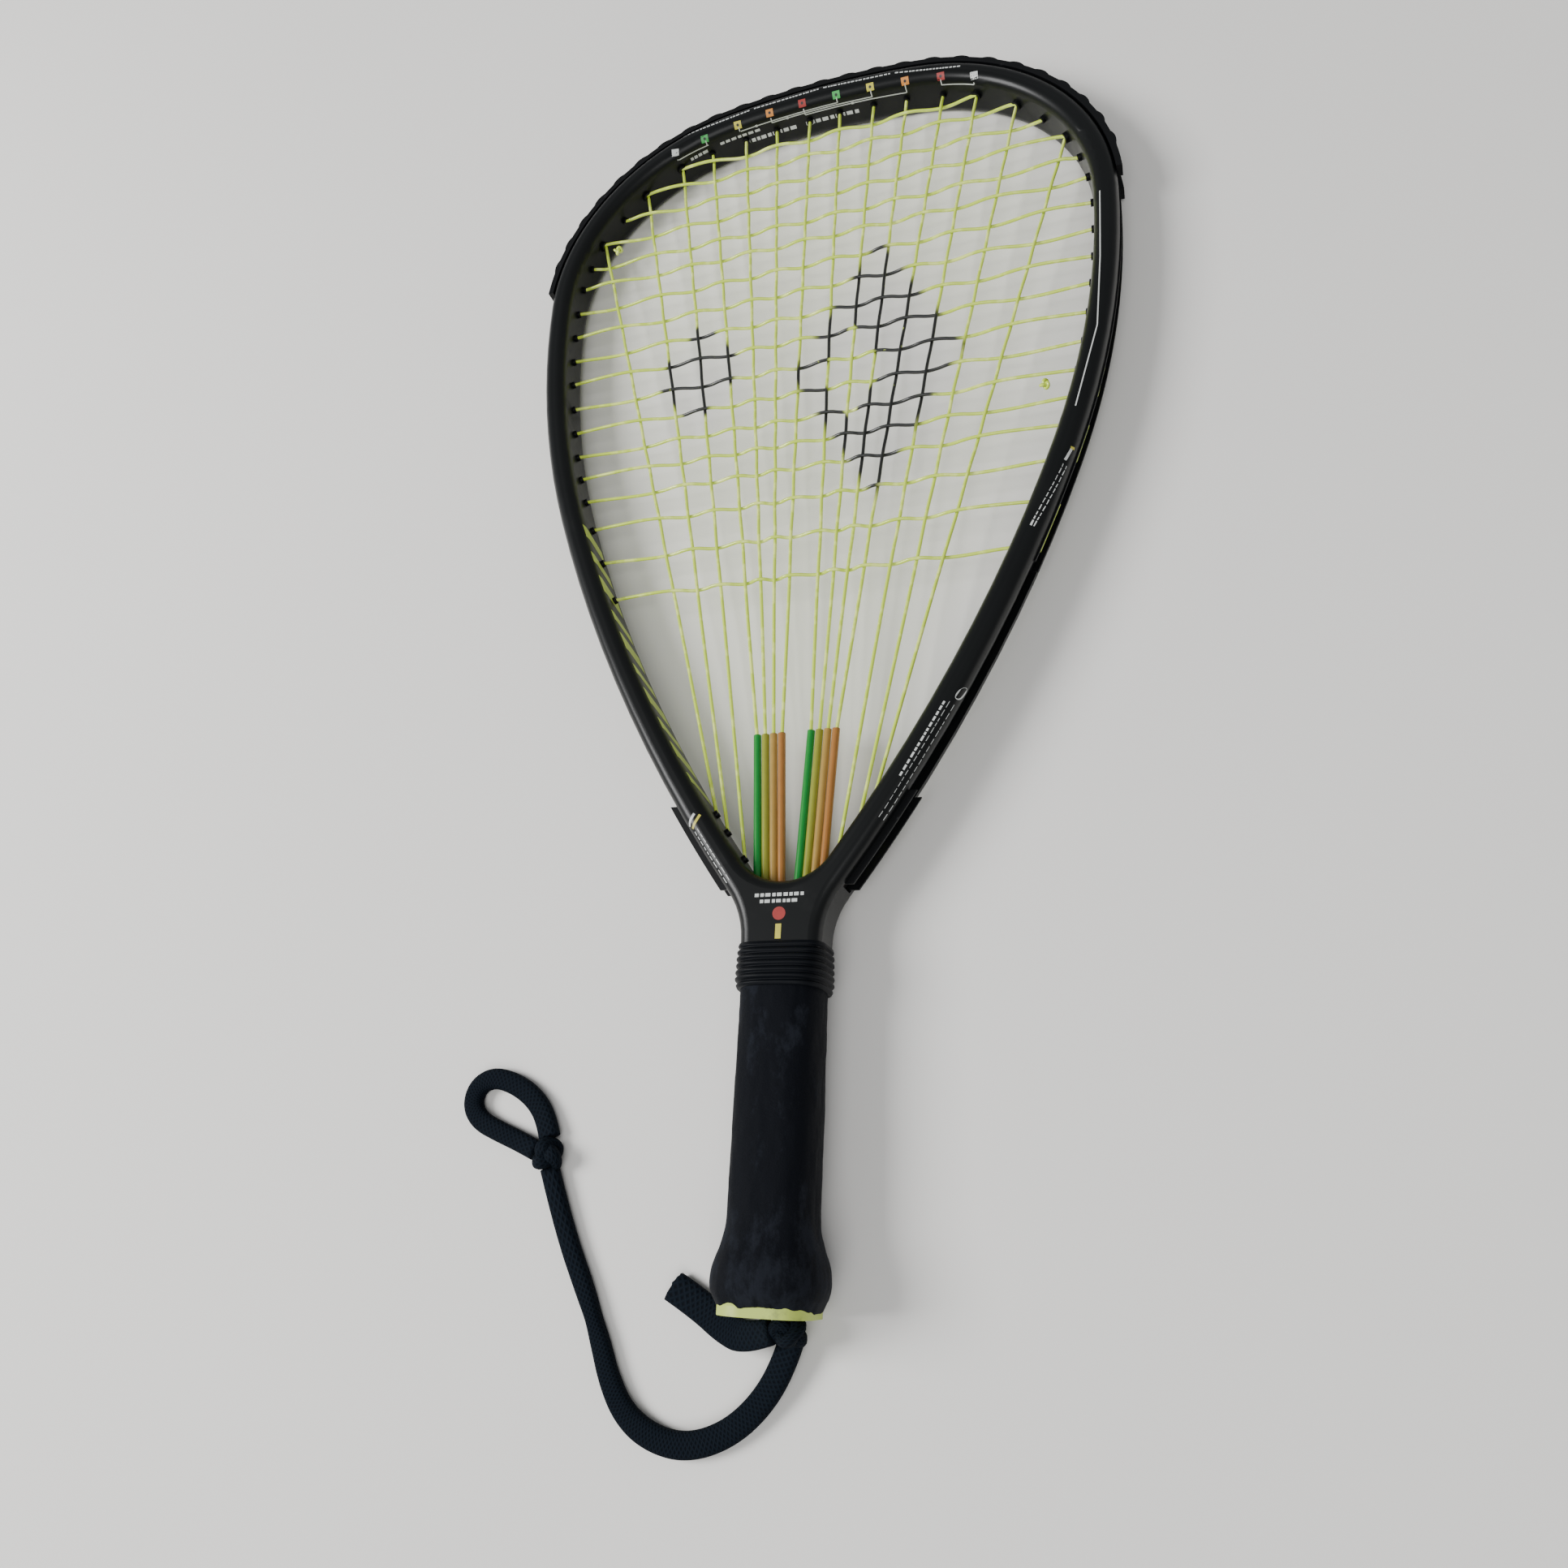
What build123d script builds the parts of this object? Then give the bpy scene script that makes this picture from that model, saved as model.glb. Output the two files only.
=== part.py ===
from build123d import *
import os
from math import asin, atan, cos, degrees, radians, sin, sqrt, tan

# A long-string racquetball racket lying face up, with its wrist cord beside it. Millimetres.
# The racket is drawn flat on the bed plane: x across, y up from the butt end, z out of the string
# bed. The bed leans a little, because the racket rests on its grip flare and on the head's rim.

# Overall sizes
racket_length = 559.0
head_width = 272.2              # over the tube, without strips
handle_length = 118.0           # butt end to the step where the neck begins

# Frame tube
tube_width = 10.6
tube_depth = 21.0
tube_wall = 1.6
face_wall = 1.9                 # tube wall under its upper and lower faces
tube_round = 4.3                # rounding of the tube's long edges
channel_depth = 3.0             # groove round the outside that takes the strips
channel_width = 9.0

# Head outline, radii along the middle of the tube
tip_radius = 347.0
shoulder_radius = 97.6
side_radius = 385.0
side_turn = 19.2                # degrees that the side bends before the leg
throat_radius = 21.3            # inside the tube
throat_y = 147.5                # lowest point of the head's opening
neck_width = 31.0
neck_radius = 32.0
neck_wall = 2.0
throat_web = 6.0                # solid part under the throat, above the shaft's bore

# Strings and grommets
string_diameter = 1.3
string_play = 0.1               # round a string in its hole
weave_rise = 1.6                # a cross string over or under a main, middle to middle
string_bend = 0.8               # length of string that a bend takes on either side
barrel_diameter = 3.2
pair_barrel_diameter = 4.8      # a barrel that two strings share
barrel_stand = 1.5              # barrel past the tube's inner wall
barrel_play = 0.05
mouth_play = 1.0                # a string turns this far off its barrel
anchor_margin = 3.35            # outermost long string to the shaft's side, at the anchor
bed_end_drop = 3.0              # a long string's upper length ends this far down its sleeve
side_clearance = 4.0            # a cross string bends only round mains this far from its own end
first_cross_drop = 18.0         # tube middle at the tip to the first cross string
cross_gaps = [11.6, 14.0, 13.8, 14.2, 12.5, 15.2, 15.0, 14.9, 14.2, 15.2, 14.6, 14.1, 13.0, 13.2,
              16.0, 18.5, 19.9]
main_shares = [0.0283, 0.0918, 0.1517, 0.2168, 0.2748, 0.3420, 0.4195]  # of the head's width
main_tops = [share * head_width for share in main_shares]
outer_main_feet = [159.7, 170.9, 178.8]   # height of the three outer mains' lower grommets
loop_rise = 0.75                # a loop over its strip, so that it clears the bend

# Strips in the channel
strip_floor = 1.1
strip_cheek = 1.0
strip_play = 0.05
guard_rise = 3.5                # head guard over the tube
guard_depth = 18.6
side_rise = 0.6
bypass_rise = 2.6
guard_end_y = 459.0
side_end_y = 272.0
bypass_low_y = 146.0
bypass_high_y = 181.0
strip_gap = 1.0
guard_skirt = 0.5               # the guard's liner over the tube, inside its rails
lobe_radius = 9.0
lobe_rise = 0.9
lobe_pitch = 13.5
lobe_start = 0.6                # first lobe round the shoulder, of a pitch

# Sleeves on the long strings
sleeve_diameter = 3.1
sleeve_top_y = 210.6
sleeve_foot_y = 141.0
sleeve_top_x = 6.1              # innermost sleeve at its top
sleeve_top_pitch = 3.4
sleeve_foot_x = 2.9
sleeve_foot_pitch = 3.15

# Handle
shaft_width = 23.0
shaft_depth = 19.0
shaft_round = 4.0
shaft_wall = 1.8
shaft_end_y = 6.0
grip_width = 30.8
grip_depth = 28.2
grip_round = 10.0
grip_skin = 1.75
grip_end_y = 3.2
lip_overlap = 1.1               # the grip's lower edge over the cap
lip_length = 2.0
lip_drop = 1.0                  # the grip's edge below its flare
grip_top_y = 115.0
flare_width = 40.4
flare_depth = 36.4
flare_y = 10.0
flare_top_y = 25.0
flare_round = 14.0
cap_width = 33.4
cap_depth = 29.6
cap_round = 11.0
cap_wall = 3.0
anchor_length = 6.0
fit = 0.1
overshoot = 5.0                 # how far a cut runs past what it cuts
step_cut = 1.0                  # a shorter one, past a step

# Rubber collar over the top of the grip
collar_low_y = 107.5
collar_high_y = 124.0
collar_width = 34.2
collar_depth = 31.4
collar_round = 11.5
collar_rib_pitch = 2.5
collar_groove = 0.9
collar_groove_width = 0.9
collar_grooves = 6
collar_lead = 4.5               # taper at the collar's lower edge
collar_edge = 1.8               # the last groove from the upper edge
collar_top_wall = 1.2
neck_seat = 0.02                # the collar on the neck

# Wrist cord
cord_diameter = 7.0
cord_hole_x = 4.5
cord_hole_z = -3.0
knot_size = (15.0, 9.0, 14.0)   # across, along the handle, high
knot_center = (4.6, 11.2)        # across and high
knot_corner = 4.8
knot_round = 3.8
end_knot_size = (13.0, 13.0, 9.6)
end_knot_middle = (-96.0, 49.5)
end_knot_corner = 5.5
end_knot_round = 3.5
cord_rest = 0.05                # the cord over the surface

# Outline worked out from the sizes above: where the arcs of the head meet
half_tube = tube_width / 2
tip_y = racket_length - guard_rise - half_tube
head_x = head_width / 2 - half_tube
tip_turn = degrees(asin((head_x - shoulder_radius) / (tip_radius - shoulder_radius)))
widest_y = tip_y - tip_radius + (tip_radius - shoulder_radius) * cos(radians(tip_turn))
side_down = Vector(-cos(radians(side_turn)), sin(radians(side_turn)))
side_center = Vector(head_x - side_radius, widest_y)
side_foot = side_center - side_down * side_radius
throat_center = Vector(0, throat_y + throat_radius)
throat_middle = throat_radius + half_tube
apart = side_foot - throat_center
leg_radius = (throat_middle**2 - apart.dot(apart)) / (2 * (apart.dot(side_down) + throat_middle))
leg_center = side_foot + side_down * leg_radius
leg_foot = (throat_center - leg_center).normalized()
leg_turn = degrees(asin(-leg_foot.Y)) - side_turn

# The bed leans so that the grip flare and the head's rim both touch the surface
rim_y = tip_y + half_tube - tube_round
lean = atan((flare_depth - tube_depth) / 2 / (rim_y - flare_y))
bed = Plane(
    origin=(
        0,
        -racket_length / 2 * cos(lean),
        flare_depth / 2 * cos(lean) + flare_y * sin(lean),
    ),
    x_dir=(1, 0, 0),
    z_dir=(0, sin(lean), cos(lean)),
)

sides = (1, -1)
cross_rows = [tip_y - first_cross_drop - sum(cross_gaps[:n]) for n in range(len(cross_gaps) + 1)]
os.makedirs("parts", exist_ok=True)


def across(y):
    """The plane square to the handle at this distance from the butt end."""
    return Plane(bed * Plane(origin=(0, y, 0), x_dir=(-1, 0, 0), z_dir=(0, 1, 0)))


def finish(piece, label):
    """Name a finished piece and write it."""
    piece.part.label = label
    export_step(piece.part, f"parts/{label}.step")


def rod(start, end, radius, mode=Mode.ADD, base=bed):
    """A round bar between two points of the bed, or of another base plane."""
    axis = Vector(*end) - Vector(*start)
    with BuildSketch(Plane(base * Plane(origin=start, z_dir=axis))) as end_face:
        Circle(radius)
    extrude(end_face.sketch, amount=axis.length, mode=mode)


def bend_radii(points, longest):
    """Radius of the arc at each corner: it takes 0.45 of the shorter run, or this length at most."""
    spots = [Vector(*point) for point in points]
    radii = []
    for before, corner, after in zip(spots, spots[1:], spots[2:]):
        half_turn = radians((corner - before).get_angle(after - corner)) / 2
        shorter = min((corner - before).length, (after - corner).length)
        radii.append(min(0.45 * shorter, longest) / tan(half_turn))
    return radii


def tube(points, diameter, base, longest=1000.0):
    """A round cord along straight runs joined by tangent arcs."""
    with BuildLine(base) as route:
        FilletPolyline(*points, radius=bend_radii(points, longest))
    with BuildSketch(route.line ^ 0) as section:
        Circle(diameter / 2)
    sweep(section.sketch, path=route.line)
    return sum(edge.length for edge in route.edges())


def strand(points):
    """A tight string through these points of the bed."""
    if len(points) == 2:
        rod(points[0], points[1], string_diameter / 2)
    else:
        tube(points, string_diameter, bed, string_bend)


def head_shape(out, round_throat=False, mode=Mode.ADD):
    """The head's outline, this far outside the middle of the tube, filled."""
    with BuildLine() as edge:
        tip = JernArc((0, tip_y + out), (1, 0), tip_radius + out, -tip_turn)
        shoulder = JernArc(tip @ 1, tip % 1, shoulder_radius + out, tip_turn - 90)
        side = JernArc(shoulder @ 1, shoulder % 1, side_radius + out, -side_turn)
        if round_throat:
            leg = JernArc(side @ 1, side % 1, leg_radius + out, -leg_turn)
            JernArc(leg @ 1, leg % 1, throat_middle + out, leg_turn + side_turn - 90)
        else:
            axis_turn = 90 - side_turn - degrees(asin(-leg_center.X / (leg_radius + out)))
            JernArc(side @ 1, side % 1, leg_radius + out, -axis_turn)
        mirror(about=Plane.YZ)
    make_face(edge.edges(), mode=mode)


def head_band(inside, outside, low_y, high_y, depth, mode=Mode.ADD):
    """A band that follows the head between two offsets and two heights."""
    with BuildSketch(bed.offset(-depth / 2)) as band:
        head_shape(outside)
        head_shape(inside, mode=Mode.SUBTRACT)
        with Locations((0, (low_y + high_y) / 2)):
            Rectangle(2 * head_width, high_y - low_y, mode=Mode.INTERSECT)
    extrude(band.sketch, amount=depth, mode=mode)


def wall_at_height(y, out):
    """Point and outward direction on the right side of the head at this height."""
    if y > widest_y:
        center, radius = Vector(head_x - shoulder_radius, widest_y), shoulder_radius
    elif y > side_foot.Y:
        center, radius = side_center, side_radius
    else:
        center, radius = leg_center, leg_radius
    rise = y - center.Y
    spot = Vector(center.X + sqrt((radius + out) ** 2 - rise**2), y)
    return spot, (spot - center).normalized()


def wall_at_side(x, out):
    """Point and outward direction on the crown of the head this far from the middle."""
    if x < (tip_radius + out) * sin(radians(tip_turn)):
        center, radius = Vector(0, tip_y - tip_radius), tip_radius
    else:
        center, radius = Vector(head_x - shoulder_radius, widest_y), shoulder_radius
    spot = Vector(x, center.Y + sqrt((radius + out) ** 2 - (x - center.X) ** 2))
    return spot, (spot - center).normalized()


class Grommet:
    """A hole through the tube, square to its wall, with the string's way in and out."""

    def __init__(self, mouth, outward, shared=False):
        self.mouth = mouth
        self.outward = outward
        self.shared = shared
        self.diameter = pair_barrel_diameter if shared else barrel_diameter
        self.lift = (string_diameter + string_play) / 2 if shared else 0

    def at(self, out, side, z=0):
        """A point on the grommet's axis, this far outside the middle of the tube."""
        spot = self.mouth + self.outward * (out + half_tube + barrel_stand)
        return (side * spot.X, spot.Y, z)

    def drill(self, side, start, end, radius, mode):
        rod(self.at(start, side, self.lift), self.at(end, side, self.lift), radius, mode)


mouth_out = -half_tube - barrel_stand
bend_out = mouth_out - mouth_play
pass_out = mouth_out + mouth_play       # a string ends here in its barrel, and its loop begins
floor_out = half_tube - channel_depth
exit_out = floor_out + strip_floor
loop_out = exit_out + string_diameter / 2 + loop_rise
pair_rows = {4: 0, 5: 1, 6: 3}          # outer mains that share a grommet with a cross row
main_grommets = [
    Grommet(*wall_at_side(x, mouth_out), shared=n in pair_rows)
    for n, x in enumerate(main_tops)
]
cross_grommets = [Grommet(*wall_at_height(y, mouth_out)) for y in cross_rows]
for main, row in pair_rows.items():
    cross_grommets[row] = main_grommets[main]
foot_grommets = [Grommet(*wall_at_height(y, mouth_out)) for y in outer_main_feet]
own_rows = [g for n, g in enumerate(cross_grommets) if n not in pair_rows.values()]
guard_grommets = main_grommets + [g for g in own_rows if g.mouth.Y > guard_end_y]
side_grommets = [g for g in own_rows if g.mouth.Y < guard_end_y]


def sleeve_spot(n, y):
    """Middle of the n-th sleeve from the axis, at this height."""
    up = (y - sleeve_foot_y) / (sleeve_top_y - sleeve_foot_y)
    foot = sleeve_foot_x + n * sleeve_foot_pitch
    top = sleeve_top_x + n * sleeve_top_pitch
    return foot + (top - foot) * up


def anchor_lane(n):
    """Distance of the n-th long string from the axis, inside the handle."""
    spread = (shaft_width / 2 - anchor_margin) / sleeve_spot(3, sleeve_foot_y)
    return sleeve_spot(n, sleeve_foot_y) * spread


def main_x(n, y):
    """Distance of the n-th main string from the axis, at this height of the string bed."""
    top = main_grommets[n].mouth
    if n < 4:
        low = Vector(sleeve_spot(n, sleeve_top_y), sleeve_top_y)
    else:
        low = foot_grommets[n - 4].mouth
    return low.X + (top.X - low.X) * (y - low.Y) / (top.Y - low.Y)


# Frame: one hollow moulding of carbon fibre, from the head through the throat to the shaft that
# the handle is built on. A channel runs round its outside for the strips.
with BuildPart() as frame:
    with BuildSketch(bed.offset(-tube_depth / 2)) as outline:
        head_shape(half_tube)
        with Locations((0, handle_length)):
            Rectangle(neck_width, throat_y - handle_length, align=(Align.CENTER, Align.MIN))
        corners = outline.vertices().filter_by(
            lambda v: handle_length + step_cut < v.Y < throat_y
            and abs(abs(v.X) - neck_width / 2) < neck_seat
        )
        fillet(corners, neck_radius)
        head_shape(-half_tube, round_throat=True, mode=Mode.SUBTRACT)
        with Locations((0, handle_length)):
            Rectangle(head_width, handle_length, align=(Align.CENTER, Align.MAX), mode=Mode.SUBTRACT)
    extrude(amount=tube_depth)
    out_of_bed = Axis(bed.origin, bed.z_dir)
    flats = frame.faces().sort_by(out_of_bed)
    rims = (flats[0].edges() + flats[-1].edges()).filter_by(
        lambda e: e.center().Y > bed.origin.Y + handle_length + step_cut
    )
    fillet(rims, tube_round)
    head_band(floor_out, half_tube + overshoot, bypass_low_y - strip_gap, racket_length, channel_width,
              Mode.SUBTRACT)
    cavity_depth = tube_depth - 2 * face_wall
    with BuildSketch(bed.offset(-cavity_depth / 2)):
        head_shape(floor_out - tube_wall)
        with Locations((0, handle_length - neck_wall)):
            Rectangle(neck_width - 2 * neck_wall, throat_y - handle_length - tube_wall,
                      align=(Align.CENTER, Align.MIN))
        head_shape(-half_tube + tube_wall, round_throat=True, mode=Mode.SUBTRACT)
    extrude(amount=cavity_depth, mode=Mode.SUBTRACT)
    with BuildSketch(across(shaft_end_y)):
        RectangleRounded(shaft_width, shaft_depth, shaft_round)
    extrude(amount=handle_length - shaft_end_y)
    with BuildSketch(across(shaft_end_y)):
        RectangleRounded(shaft_width - 2 * shaft_wall, shaft_depth - 2 * shaft_wall,
                         shaft_round - shaft_wall)
    extrude(amount=throat_y - tube_wall - throat_web - shaft_end_y, mode=Mode.SUBTRACT)
    for side in sides:
        for grommet in guard_grommets + side_grommets + foot_grommets:
            grommet.drill(side, mouth_out - overshoot, half_tube + overshoot,
                          grommet.diameter / 2 + barrel_play, Mode.SUBTRACT)
        for n in range(4):
            foot = (side * sleeve_spot(n, sleeve_foot_y), sleeve_foot_y, 0)
            top = (side * sleeve_spot(n, sleeve_top_y), sleeve_top_y, 0)
            rod(foot, top, sleeve_diameter / 2 + barrel_play, Mode.SUBTRACT)
finish(frame, "frame")


liner = channel_width - 2 * strip_play


def slot_and_barrels(rise, grommets, strip_sides):
    """Cut the slot that the string loops lie in, and add a grommet barrel at each hole."""
    head_band(exit_out, half_tube + rise + overshoot, 0, racket_length + overshoot,
              liner - 2 * strip_cheek, Mode.SUBTRACT)
    for side in strip_sides:
        for grommet in grommets:
            grommet.drill(side, mouth_out, exit_out, grommet.diameter / 2, Mode.ADD)
    for side in strip_sides:
        for grommet in grommets:
            strings = 2 if grommet.shared else 1
            hole = strings * string_diameter / 2 + string_play
            grommet.drill(side, mouth_out - overshoot, exit_out + overshoot, hole, Mode.SUBTRACT)


def strip(low_y, high_y, rise, grommets, side, name):
    """A plastic channel liner with its grommet barrels, along one stretch of one side."""
    with BuildPart() as piece:
        head_band(floor_out + strip_play, half_tube + rise, low_y, high_y, liner)
        with BuildSketch(bed.offset(-tube_depth)) as other_side:
            with Locations((-side * head_width, 0)):
                Rectangle(2 * head_width, 3 * racket_length)
        extrude(other_side.sketch, amount=2 * tube_depth, mode=Mode.SUBTRACT)
        slot_and_barrels(rise, grommets, [side])
    finish(piece, name)


# Side strips: black nylon channel liners for the cross strings' grommets
for side, word in zip(sides, ("right", "left")):
    strip(side_end_y, guard_end_y - strip_gap, side_rise, side_grommets, side,
          f"side_strip_{word}")
    strip(bypass_low_y, bypass_high_y, bypass_rise, foot_grommets, side, f"bypass_strip_{word}")

# Head guard: a tough black nylon bumper round the crown, with lobed rails either side of the
# slot that the string loops lie in
with BuildPart() as guard:
    head_band(half_tube, half_tube + guard_rise - lobe_rise, guard_end_y, racket_length, guard_depth)
    lobes = int(tip_radius * radians(tip_turn) * 2 / lobe_pitch)
    with BuildSketch(bed.offset(-guard_depth / 2)):
        lobe_out = half_tube + guard_rise - lobe_radius
        crown = tip_radius + lobe_out
        for n in range(-(lobes // 2), lobes // 2 + 1):
            angle = n * lobe_pitch / crown
            with Locations((crown * sin(angle), tip_y - tip_radius + crown * cos(angle))):
                Circle(lobe_radius)
        bend = shoulder_radius + lobe_out
        bend_start = radians(tip_turn) + lobe_start * lobe_pitch / bend
        bend_end = radians(90) + asin((widest_y - guard_end_y - lobe_radius) / bend)
        turns = int((bend_end - bend_start) * bend / lobe_pitch)
        for side in sides:
            for n in range(turns + 1):
                angle = bend_start + n * lobe_pitch / bend
                x = head_x - shoulder_radius + bend * sin(angle)
                with Locations((side * x, widest_y + bend * cos(angle))):
                    Circle(lobe_radius)
        head_shape(half_tube, mode=Mode.SUBTRACT)
        with Locations((0, guard_end_y)):
            Rectangle(2 * head_width, racket_length - guard_end_y + overshoot,
                      align=(Align.CENTER, Align.MIN), mode=Mode.INTERSECT)
    extrude(amount=guard_depth)
    head_band(floor_out + strip_play, half_tube + guard_skirt, guard_end_y, racket_length, liner)
    slot_and_barrels(guard_rise, guard_grommets, sides)
finish(guard, "head_guard")

# Main strings: three short ones a side end at the throat's bypass strips. The other four a side
# are drawn in two lengths that meet in the sleeves: one in the head, and one that runs on down
# inside the handle to the anchor.
with BuildPart() as outer_mains:
    for side in sides:
        for n in range(4, 7):
            top, foot = main_grommets[n], foot_grommets[n - 4]
            strand([top.at(pass_out, side), top.at(bend_out, side), foot.at(bend_out, side),
                    foot.at(pass_out, side)])
finish(outer_mains, "main_strings_outer")

anchor_low_y = cap_wall + fit + shaft_end_y
bed_end_y = sleeve_top_y - bed_end_drop
with BuildPart() as long_mains:
    for side in sides:
        for n in range(4):
            top = main_grommets[n]
            strand([
                top.at(pass_out, side),
                top.at(bend_out, side),
                (side * sleeve_spot(n, sleeve_top_y), sleeve_top_y, 0),
                (side * sleeve_spot(n, bed_end_y), bed_end_y, 0),
            ])
finish(long_mains, "main_strings_long")

with BuildPart() as handle_strings:
    for side in sides:
        for n in range(4):
            lane = anchor_lane(n)
            strand([
                (side * sleeve_spot(n, bed_end_y), bed_end_y, 0),
                (side * sleeve_spot(n, sleeve_foot_y), sleeve_foot_y, 0),
                (side * lane, handle_length, 0),
                (side * lane, anchor_low_y, 0),
            ])
finish(handle_strings, "handle_strings")

# Cross strings, woven over and under the mains
for first, word in ((0, "upper"), (9, "lower")):
    with BuildPart() as crosses:
        for row in range(first, first + 9):
            y = cross_rows[row]
            grommet = cross_grommets[row]
            end_z = 2 * grommet.lift
            met = [n for n in range(7) if main_x(n, y) < grommet.mouth.X - side_clearance]
            order = [-n - 1 for n in reversed(met)] + [n + 1 for n in met]
            points = [grommet.at(pass_out, -1, end_z), grommet.at(bend_out, -1, end_z)]
            for place in order:
                side = 1 if place > 0 else -1
                n = abs(place) - 1
                over = (row + n + (place > 0)) % 2
                z = weave_rise if over else -weave_rise
                points.append((side * main_x(n, y), y, z))
            points += [grommet.at(bend_out, 1, end_z), grommet.at(pass_out, 1, end_z)]
            strand(points)
    finish(crosses, f"cross_strings_{word}")

# Loops: where the strings go out through a grommet, along the slot of a strip to the next one, and
# back in
lane_z = string_diameter + string_play
hoop_right = main_grommets[:6] + [cross_grommets[2]] + cross_grommets[3:]
with BuildPart() as loops:
    for side in sides:
        for grommet in main_grommets + foot_grommets:
            rod(grommet.at(pass_out, side), grommet.at(exit_out, side), string_diameter / 2)
        for grommet in cross_grommets:
            z = 2 * grommet.lift
            rod(grommet.at(pass_out, side, z), grommet.at(exit_out, side, z), string_diameter / 2)
    rod(main_grommets[0].at(loop_out, -1, -lane_z), main_grommets[0].at(loop_out, 1, -lane_z),
        string_diameter / 2)
    for side in sides:
        for first, last in ((1, 2), (3, 4), (5, 7)):
            strand([g.at(loop_out, side, -lane_z) for g in hoop_right[first:last + 1]])
        strand([g.at(loop_out, side, 0) for g in foot_grommets[:2]])
        start = 0 if side == 1 else 1
        for row in range(start, len(cross_rows) - 1, 2):
            route = [cross_grommets[row], cross_grommets[row + 1]]
            strand([g.at(loop_out, side, lane_z) for g in route])
finish(loops, "string_loops")

# Soft plastic sleeves that damp the long strings: four colours a side
for side, word in zip(sides, ("right", "left")):
    colours = ("green", "yellow", "amber", "orange")
    for n in range(4):
        colour = colours[n if side == 1 else 3 - n]
        foot = (side * sleeve_spot(n, sleeve_foot_y), sleeve_foot_y, 0)
        top = (side * sleeve_spot(n, sleeve_top_y), sleeve_top_y, 0)
        with BuildPart() as sleeve:
            rod(foot, top, sleeve_diameter / 2)
            rod(foot, top, string_diameter / 2 + string_play, Mode.SUBTRACT)
        finish(sleeve, f"sleeve_{word}_{colour}")

# Anchor: the block in the shaft that the long strings are tied through
with BuildPart() as anchor:
    with BuildSketch(across(anchor_low_y)):
        RectangleRounded(shaft_width - 2 * shaft_wall - 2 * fit,
                         shaft_depth - 2 * shaft_wall - 2 * fit, shaft_round - shaft_wall)
        with Locations(*[(side * anchor_lane(n), 0) for side in sides for n in range(4)]):
            Circle(string_diameter / 2 + string_play, mode=Mode.SUBTRACT)
    extrude(amount=anchor_length)
finish(anchor, "string_anchor")


def stack(stations):
    """A solid through rounded rectangles across the handle, with straight flanks between them."""
    for (low_y, *low), (high_y, *high) in zip(stations, stations[1:]):
        with BuildSketch(across(low_y)) as a:
            RectangleRounded(*low)
        with BuildSketch(across(high_y)) as b:
            RectangleRounded(*high)
        loft([a.sketch, b.sketch], ruled=True)


grip_inside = (grip_width - 2 * grip_skin, grip_depth - 2 * grip_skin, grip_round - grip_skin)
flare_inside = (flare_width - 2 * grip_skin, flare_depth - 2 * grip_skin, flare_round - grip_skin)
cap_section = (cap_width, cap_depth, cap_round)
cap_stations = [(0, *cap_section), (grip_end_y, *cap_section), (flare_y, *flare_inside),
                (flare_top_y, *grip_inside)]

# Butt cap: lime plastic, flared under the grip, closing the shaft, with the cord's hole in it
with BuildPart() as cap:
    stack(cap_stations)
    with BuildSketch(across(cap_wall)):
        RectangleRounded(shaft_width + 2 * fit, shaft_depth + 2 * fit, shaft_round)
    extrude(amount=flare_top_y, mode=Mode.SUBTRACT)
    rod((cord_hole_x, -overshoot, cord_hole_z), (cord_hole_x, cap_wall + step_cut, cord_hole_z),
        cord_diameter / 2 + fit, Mode.SUBTRACT)
finish(cap, "butt_cap")

# Pallets: two foam half shells that bring the shaft up to the grip's size
for side, word in zip(sides, ("upper", "lower")):
    with BuildPart() as pallet:
        with BuildSketch(across(flare_top_y)) as section:
            RectangleRounded(*grip_inside)
            RectangleRounded(shaft_width + 2 * fit, shaft_depth + 2 * fit, shaft_round,
                             mode=Mode.SUBTRACT)
            with Locations((0, -side * (grip_depth / 2 - fit))):
                Rectangle(grip_width, grip_depth, mode=Mode.SUBTRACT)
        extrude(amount=grip_top_y - flare_top_y)
    finish(pallet, f"pallet_{word}")

# Grip: a soft wrap over the pallets and over the cap's flare
with BuildPart() as grip:
    stack([
        (grip_end_y, cap_width + 2 * lip_overlap, cap_depth + 2 * lip_overlap,
         cap_round + lip_overlap),
        (grip_end_y + lip_length, flare_width - 2 * lip_drop, flare_depth - 2 * lip_drop,
         flare_round - lip_drop),
        (flare_y, flare_width, flare_depth, flare_round),
        (flare_top_y, grip_width, grip_depth, grip_round),
        (grip_top_y, grip_width, grip_depth, grip_round),
    ])
    with BuildSketch(across(flare_top_y - step_cut)):
        RectangleRounded(*grip_inside)
    extrude(amount=grip_top_y, mode=Mode.SUBTRACT)
    for (low_y, *low), (high_y, *high) in zip(cap_stations[1:], cap_stations[2:]):
        with BuildSketch(across(low_y)) as a:
            RectangleRounded(*low)
        with BuildSketch(across(high_y)) as b:
            RectangleRounded(*high)
        loft([a.sketch, b.sketch], ruled=True, mode=Mode.SUBTRACT)
finish(grip, "grip")

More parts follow.
